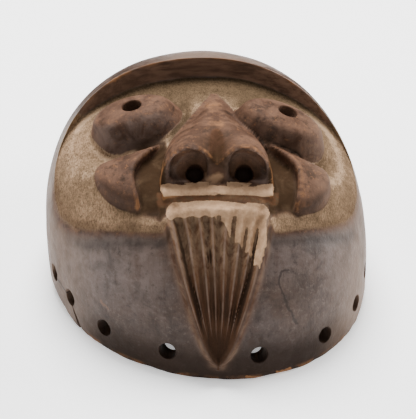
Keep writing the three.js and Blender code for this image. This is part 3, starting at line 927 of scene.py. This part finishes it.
# Paint: on the top of the lip and of the block, and down the flutes to a ragged end.
drip_end = np.interp(x, (-34, -10, -3, 3, 8, 13, 19, 25, 31), (107, 106, 104, 101, 93, 89, 84, 79, 76))
drip_end = drip_end - 3.0 * np.cos(flute * 2 * np.pi) * (x > -8)
drips = (0.5 + np.clip((z - drip_end) / 5, -0.5, 0.5)) * ease(34.5, 32, np.abs(x)) * ease(-72, -76, y)
bare = groove ** 3 * ease(111, 107, z) * np.where(x < 14, 1.0, ease(104, 92, z))
drips = drips * (side < 0.5) * (1 - 0.9 * bare) * (z < 112)
block_rise, lip_rise = z + block_sag * x * x, z + lip_sag * x * x
block_top = ease(2.5, 0.8, block_gap(x, y, z)) * ease(104, 107, block_rise) * ease(-68, -70.5, y)
lip_top = ease(2.0, 0.6, lip_near) * ease(115.2, 116.4, lip_rise) * ease(-58.5, -60, y)
paint = np.maximum(np.maximum(drips, block_top), lip_top) * (z > 60) * 2 - 1
lip_front = ease(4.5, 3.0, lip_near) * ease(117.0, 115.8, lip_rise) * (y < -64) * (z > 100)

# Faces turned to the chin, with painted sheen on the eyes and the nose wings and painted shade by the
# cheeks;
# painted shade low on the jaw toward the chin; and the skin of flanks, crown and jaw, with painted
# sheen on the flanks and the upper jaw.
turned_down = ease(0.30, 0.95, -out_y) * raised * (1 - on_panel) * (z > 60)
wings = turned_down * at_cups * (under_arch > 1.5) * (1 - deep_in_cup)
# Painted sheen: a pale grey on the sides of the eyes turned to the chin, most on the left, and on the
# wings of the nose.
under = np.maximum(turned_down * (eye_near < 2) * np.where(x < 0, 1.0, 0.3), wings)
shaded = turned_down * ease(3.0, 1.0, cheek_near) * ease(-40, -60, y)
# Painted shade: darker low on the jaw toward the chin and the rim.
chin_shade = ease(52, 6, z) * ease(-50, -105, y) * (1 - inner)
skin = ease(-4, -1, shell) * ease(-1, 2, edge) * (1 - inner)
crest_top = ease(70, 25, np.abs(x - 6)) * ease(108, 124, z) * (y > 60)
# Painted sheen: a pale coat on the outer flanks and the top of the crest.
flank = skin * np.maximum(ease(72, 116, np.abs(x + 4)) * ease(48, 6, y), 0.75 * crest_top)
crown_skin = skin * ease(0, 40, y) * (1 - flank) * (0.45 + 0.55 * ease(70, 110, z))
# Painted sheen: paler grey on the upper jaw beside the beard, more on the left.
jaw_sheen = ease(30, 75, z) * ease(-30, -70, y) * ease(20, 55, off_middle) * np.where(x < 0, 1.0, 0.4)
crest_wall = ease(20, 33, y) * ease(0.2, 1.8, over_floor) * ease(-6.5, -4, edge) * ease(1.2, 0.0, edge)

fields = dict(
    dust=dust, hollow_near=hollow_near, hollow_wide=hollow_wide, sharp=worn, paint=paint,
    inner=inner, crest_wall=crest_wall, panel=on_panel, flute=flute, nostril=nostril_wall,
    flank=flank, under=under, shaded=shaded, between=between, crown_skin=crown_skin,
    margin=margin, far_right=ease(56, 84, x), far_left=ease(-25, -70, x), rim_wear=rim_wear,
    valley=valley * (1 - inner), raised=raised * (1 - inner) * (1 - on_panel),
    scoop_shade_and_dirt=np.maximum(1.2 * notch_back, deep_in_cup), brow=ease(12, 42, y),
    chin_shade=chin_shade, jaw_sheen=jaw_sheen, ledge_shadow=ledge_shadow, panel_rim=panel_rim * (1 - on_panel * 0.5),
    rough_tip=rough_tip, lip_front=lip_front, upper_flutes=on_panel * ease(55, 104, z),
)
for name, value in fields.items():
    layer = worked.attributes.new(name, "FLOAT", "POINT")
    layer.data.foreach_set("value", np.ascontiguousarray(value, dtype=np.float32))

# The finish: dark wood rubbed with oil, sooty in blotches, orange brown where edges are
# worn, with beige clay dust in the field and pale paint left on the lips and running down
# the flutes. Painted grey sheen lies on the jaw, the flanks and the faces turned to the
# chin, a painted highlight on the flute crests, and painted shade in the hollows, valleys,
# cups, nostrils and flute floors, low on the jaw and under the field's lower edge.
wood = bpy.data.materials.new("patinated wood")
wood.use_nodes = True
tree = wood.node_tree
wood_face = tree.nodes["Principled BSDF"]
place = tree.nodes.new("ShaderNodeTexCoord").outputs["Object"]


def wire(socket, value):
    """A socket takes either another node's output or a plain value."""
    if isinstance(value, bpy.types.NodeSocket):
        tree.links.new(value, socket)
    else:
        socket.default_value = value


def field(name):
    node = tree.nodes.new("ShaderNodeAttribute")
    node.attribute_name = name
    return node.outputs["Fac"]


def reckon(way, *terms):
    node = tree.nodes.new("ShaderNodeMath")
    node.operation = way
    for socket, term in zip(node.inputs, terms):
        wire(socket, term)
    return node.outputs[0]


def in_turn(way, terms):
    """The first two terms are put together, then the result and the next one."""
    result = terms[0]
    for term in terms[1:]:
        result = reckon(way, result, term)
    return result


def times(*terms):
    return in_turn("MULTIPLY", terms)


def plus(*terms):
    return in_turn("ADD", terms)


def most(*terms):
    return in_turn("MAXIMUM", terms)


def less(whole, part):
    return reckon("SUBTRACT", whole, part)


def broken(value, noise, strength):
    """A value pushed up and down by a noise from 0 to 1, less a half, times a strength."""
    return plus(value, times(less(noise, 0.5), strength))


def share(value, low, high):
    """0 below low, 1 above high, eased between."""
    node = tree.nodes.new("ShaderNodeMapRange")
    node.interpolation_type = "SMOOTHSTEP"
    wire(node.inputs["Value"], value)
    node.inputs["From Min"].default_value = low
    node.inputs["From Max"].default_value = high
    return node.outputs["Result"]


def cloud(per_metre, detail=3.0, rough=0.55, vector=place, twist=0.0, part="Fac"):
    node = tree.nodes.new("ShaderNodeTexNoise")
    wire(node.inputs["Vector"], vector)
    node.inputs["Scale"].default_value = per_metre
    node.inputs["Detail"].default_value = detail
    node.inputs["Roughness"].default_value = rough
    node.inputs["Distortion"].default_value = twist
    return node.outputs[part]


def grain(per_metre, detail=3, rough=0.6, twist=0.0):
    """A cloud drawn out, with its own number to the metre along x, y and z."""
    node = tree.nodes.new("ShaderNodeMapping")
    wire(node.inputs["Vector"], place)
    node.inputs["Scale"].default_value = per_metre
    return cloud(1, detail, rough, node.outputs["Vector"], twist)


def blend(amount, under, over):
    node = tree.nodes.new("ShaderNodeMix")
    node.data_type = "RGBA"
    wire(node.inputs["Factor"], amount)
    wire(node.inputs["A"], under)
    wire(node.inputs["B"], over)
    return node.outputs["Result"]


def mixed(noise, low, high, under, over):
    return blend(share(noise, low, high), under, over)


def coated(under, *coats):
    """Colours laid one over the other. A coat is its colour and the shares whose product
    says how far it hides what lies below."""
    for over, *shares in coats:
        under = blend(times(*shares), under, over)
    return under


# Stains and paints, and the colours of painted shade, sheen and highlight, as linear colours.
oiled_brown = (0.050, 0.028, 0.018, 1)
soot_and_shade_brown = (0.014, 0.008, 0.005, 1)
grey_sheen = (0.064, 0.044, 0.037, 1)
handled_brown = (0.045, 0.022, 0.013, 1)
warm_brown = (0.094, 0.049, 0.030, 1)
worn_orange = (0.200, 0.090, 0.038, 1)
clay_beige = (0.282, 0.180, 0.108, 1)
clay_brown = (0.064, 0.041, 0.023, 1)
kaolin = (0.385, 0.245, 0.146, 1)
thin_kaolin = (0.270, 0.165, 0.096, 1)
rust_brown = (0.085, 0.040, 0.021, 1)
scoop_shade_brown = (0.026, 0.015, 0.008, 1)
shaded_clay_brown = (0.028, 0.018, 0.010, 1)
olive_brown = (0.055, 0.036, 0.020, 1)
flute_dust = (0.190, 0.125, 0.078, 1)
pale_clay = (0.420, 0.285, 0.180, 1)
pale_fleck_and_sheen = (0.135, 0.101, 0.087, 1)
pale_sheen_and_wear = (0.155, 0.100, 0.069, 1)
wall_brown = (0.180, 0.105, 0.070, 1)
wall_shade = (0.080, 0.047, 0.031, 1)
flute_highlight_grey = (0.150, 0.105, 0.082, 1)
raw_wood = (0.090, 0.055, 0.034, 1)
nostril_shade_black = (0.010, 0.005, 0.003, 1)


def placed(way, a, b, part="Vector"):
    node = tree.nodes.new("ShaderNodeVectorMath")
    node.operation = way
    wire(node.inputs[0], a)
    wire(node.inputs["Scale"] if way == "SCALE" else node.inputs[1], b)
    return node.outputs[part]


# Marks of age: on the jaw a hairline over the split, a curved scratch, a short score, a
# dark smudge, and places at the rim where the skin has chipped off, and between the cups
# of the nose a pale bare patch.
wander = placed("SUBTRACT", cloud(160, 2.0, 0.5, part="Color"), (0.5, 0.5, 0.5))
wavering = placed("ADD", place, placed("SCALE", wander, 0.005))


def nearness(corners, width):
    """1 on a broken line through places in the wood and 0 beyond a width from it. For each
    stretch of the line, the share of the way along it is held between 0 and 1, and the
    distance is taken to that point, with depth under the surface counted at a fifth."""
    corners = np.array(corners)
    nearest = None
    for a, b in zip(corners, corners[1:]):
        facing = Vector(slope_of(*(np.array([c]) for c in (a + b) / 2))[0][0]).normalized()
        a, b = Vector(a + nose_line_at) * 0.001, Vector(b + nose_line_at) * 0.001
        stretch = b - a
        stretch -= facing * (0.8 * stretch.dot(facing))
        off = placed("SUBTRACT", wavering, a)
        deep = times(placed("DOT_PRODUCT", off, facing, "Value"), 0.8)
        off = placed("SUBTRACT", off, placed("SCALE", tuple(facing), deep))
        along = placed("DOT_PRODUCT", off, stretch / stretch.length_squared, "Value")
        along = reckon("MINIMUM", most(along, 0.0), 1.0)
        away = placed("DISTANCE", off, placed("SCALE", tuple(stretch), along), "Value")
        nearest = away if nearest is None else reckon("MINIMUM", nearest, away)
    return share(nearest, width * 0.001, width * 0.0003)


hairline = nearness([(-115.8, -46.9, 25.6), (-112.2, -54.2, 24.6), (-107.5, -62.3, 21.2)], 1.5)
scratch = nearness([(48, -100.2, 73), (43, -101, 74), (40.8, -103.6, 71), (41.8, -106.3, 65.8),
                    (44.4, -109, 58.7), (49.7, -112, 47.4), (55.1, -113.4, 37.4)], 1.3)
score = nearness([(-81.2, -91.2, 39.9), (-75.5, -96.5, 36.1)], 1.1)
chips = most(nearness([(43.1, -125.4, 2.1), (50.4, -122.2, 2.1)], 3.6),
             nearness([(21.6, -130.1, 3.6), (31.6, -128.4, 1.5)], 2.2))
smudge = nearness([(55, -104, 62), (60, -107, 46)], 9.0)
bared = nearness([(-6, -60, 121), (0.5, -60, 125)], 4.5)

# Noises that the coats share: blotches large and small, and grain drawn out in the wood.
broad, mottle, fine = cloud(22, 4), cloud(70, 5, 0.6, twist=0.6), cloud(420, 3)
pores = cloud(260, 5, 0.8)
streaks, rings, upright = grain((300, 32, 32)), grain((30, 240, 240)), grain((300, 300, 60))
fibres, threads = grain((900, 130, 130), 4, 0.7), grain((1100, 500, 500), 3, 0.75, 0.3)
speckle = plus(times(threads, 0.6), times(cloud(210, 5, 0.75), 0.4))

# Stains that lie on one part of the mask each: the raised features, with painted sheen
# and painted shade on their faces turned to the chin, the wall under the crest and the beard.
rubbed_warm = coated(
    mixed(mottle, 0.35, 0.65, handled_brown, warm_brown),
    (soot_and_shade_brown, share(cloud(95, 5, 0.7), 0.5, 0.68), 0.75),
    (soot_and_shade_brown, share(fibres, 0.5, 0.75), 0.35),
    (worn_orange, share(cloud(300, 4, 0.75), 0.56, 0.66), 0.4),
    # painted sheen on the faces turned to the chin
    (pale_fleck_and_sheen, field("under"), share(mottle, 0.25, 0.6), 0.6),
    (pale_sheen_and_wear, field("far_right"), 0.3),
    # painted shade on the lower faces of the cheeks
    (soot_and_shade_brown, field("shaded"), 0.6),
)
wall_stain = coated(
    mixed(rings, 0.3, 0.7, wall_shade, wall_brown),
    (oiled_brown, field("far_left"), 0.6),
)
flute_stain = coated(
    mixed(streaks, 0.3, 0.7, oiled_brown, rust_brown),
    (flute_dust, field("upper_flutes"), share(upright, 0.25, 0.65), 0.85),
    (soot_and_shade_brown, field("rough_tip"), 0.6),
)
# The crests of the flutes take a painted highlight, and their floors painted shade.
flute_wave = reckon("COSINE", times(field("flute"), 2 * math.pi))
fluted = times(field("panel"), less(1.0, field("rough_tip")))
flute_top_highlights = times(fluted, share(flute_wave, -0.72, -0.97), share(mottle, 0.25, 0.5))
flute_floor_shade = times(
    fluted, share(flute_wave, 0.2, 0.9), less(1.0, times(field("upper_flutes"), 0.7)))

# How far the painted shade low on the jaw, the painted shade and dirt in hollows, the wear on edges and
# the chips go.
chin_shade_cover = share(broken(field("chin_shade"), broad, 0.8), 0.1, 1.0)
hollow_shade_and_grime = share(plus(field("hollow_near"), times(mottle, 0.3)), 0.36, 0.8)
rubbed = share(broken(field("sharp"), mottle, 1.1), 0.20, 0.62)
rubbed = times(rubbed, less(1.0, times(field("panel"), 0.85)))
chipped = share(broken(chips, cloud(200, 4), 1.2), 0.35, 0.55)

# Clay dust: beige and speckled, olive brown on the brow, darkened there as painted shade under the
# crest, paler where it has settled.
settled = times(share(broken(field("hollow_wide"), speckle, 1.2), 0.18, 0.5),
                less(1.0, most(field("brow"), field("margin"))))
aged = share(broken(field("margin"), mottle, 0.8), 0.3, 0.9)
clay = coated(
    mixed(speckle, 0.30, 0.66, clay_brown, clay_beige),
    (clay_brown, share(cloud(48, 4, 0.6), 0.35, 0.62), 0.45),
    # the brow darker, partly painted shade under the crest
    (mixed(speckle, 0.35, 0.6, shaded_clay_brown, olive_brown), field("brow"), 0.85),
    (clay_brown, field("far_right"), 0.35),
    (pale_clay, settled, 0.4),
    (mixed(speckle, 0.35, 0.65, handled_brown, clay_brown), aged, 0.5),
    # painted shade on the ground beside the nose root
    (shaded_clay_brown, field("between"), share(mottle, 0.2, 0.5), 0.85),
)
dust_cover = share(broken(field("dust"), mottle, 0.5), 0.2, 0.65)
painted = share(broken(field("paint"), cloud(330, 4, 0.65), 1.6), -0.15, 0.25)

# All the coats, from the skin of the dome to the paint and the raw wood inside.
colour = coated(
    # oiled brown with patches of painted grey sheen
    mixed(broad, 0.36, 0.66, oiled_brown, grey_sheen),
    # painted sheen on the upper jaw
    (pale_fleck_and_sheen, field("jaw_sheen"), share(broad, 0.25, 0.6), 0.8),
    (soot_and_shade_brown, share(mottle, 0.42, 0.7), 0.6),
    (handled_brown, share(cloud(150, 5, 0.7), 0.5, 0.66), 0.35),
    (handled_brown, share(streaks, 0.48, 0.8), 0.4),
    (soot_and_shade_brown, share(fibres, 0.55, 0.8), 0.35),
    (soot_and_shade_brown, share(pores, 0.54, 0.66), 0.5),
    (pale_fleck_and_sheen, share(pores, 0.46, 0.36), 0.35),
    # painted shade low on the jaw toward the chin
    (soot_and_shade_brown, chin_shade_cover, 0.85),
    # painted sheen on the flanks and the crest top
    (pale_sheen_and_wear, field("flank"), share(broad, 0.2, 0.6), 0.75),
    (mixed(mottle, 0.3, 0.8, handled_brown, soot_and_shade_brown), field("crown_skin"), 0.8),
    (rubbed_warm, field("raised"), 0.9),
    (wall_stain, field("crest_wall"), 0.95),
    (flute_stain, field("panel"), 0.95),
    # painted shade in the flute floors and a painted highlight on their crests
    (soot_and_shade_brown, flute_floor_shade, 0.5),
    (flute_highlight_grey, flute_top_highlights, 0.6),
    (mixed(mottle, 0.35, 0.75, handled_brown, pale_sheen_and_wear), field("panel_rim"), 0.75),
    # painted shade in the valleys
    (mixed(mottle, 0.45, 0.85, scoop_shade_brown, clay_brown), field("valley"), 0.92),
    # painted shade and dirt behind the notch and in the cups
    (mixed(mottle, 0.3, 0.7, scoop_shade_brown, handled_brown), field("scoop_shade_and_dirt"), 0.72),
    # painted shade in the nostrils
    (nostril_shade_black, field("nostril"), 0.9),
    (mixed(fine, 0.4, 0.7, rust_brown, clay_brown), field("lip_front"), 0.85),
    # painted shade and dirt in the hollows
    (soot_and_shade_brown, hollow_shade_and_grime, 0.8),
    (worn_orange, rubbed, 0.75),
    (soot_and_shade_brown, smudge, 0.22),
    (soot_and_shade_brown, most(hairline, scratch), 0.75),
    (worn_orange, score, 0.3),
    (worn_orange, chipped, 0.85),
    (worn_orange, field("rim_wear"), share(mottle, 0.45, 0.62), 0.6),
    # painted shadow line below the field
    (soot_and_shade_brown, field("ledge_shadow"), 0.6),
    (clay, dust_cover),
    (mixed(cloud(160, 4, 0.7), 0.35, 0.7, kaolin, thin_kaolin), painted),
    (thin_kaolin, bared, 0.6),
    (mixed(streaks, 0.35, 0.65, soot_and_shade_brown, raw_wood), field("inner")),
)
wire(wood_face.inputs["Base Color"], colour)

# Dust, paint and raw wood are chalky, and the rubbed features keep a faint sheen.
chalky = most(dust_cover, painted, field("inner"), field("valley"), field("panel"))
sheen_rough = plus(0.42, times(mottle, 0.2), times(field("raised"), 0.14))
wire(wood_face.inputs["Roughness"], most(sheen_rough, times(chalky, 0.9)))
dull = most(
    chalky, field("lip_front"), field("scoop_shade_and_dirt"), field("crest_wall"), field("panel_rim"),
    field("crown_skin"), times(field("raised"), 0.86), times(field("flank"), 0.7),
    times(chin_shade_cover, 0.8))
wire(wood_face.inputs["Specular IOR Level"], less(0.27, times(dull, 0.26)))

# Grain, grit in the dust, scrapes down the flutes and the edge of the paint, as bump.
scrapes = grain((700, 700, 60), 2, 0.5)
relief = plus(
    times(fine, 0.25), times(streaks, 0.4), times(cloud(120, 4, 0.6), 1.2),
    times(dust_cover, cloud(520, 3, 0.75), 1.6), times(scrapes, field("panel"), 1.2),
    times(painted, 0.5))
bump = tree.nodes.new("ShaderNodeBump")
bump.inputs["Strength"].default_value = 0.8
bump.inputs["Distance"].default_value = 0.0007
wire(bump.inputs["Height"], relief)
wire(wood_face.inputs["Normal"], bump.outputs["Normal"])
worked.materials.clear()
worked.materials.append(wood)

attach(mask, "root")
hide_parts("mask")
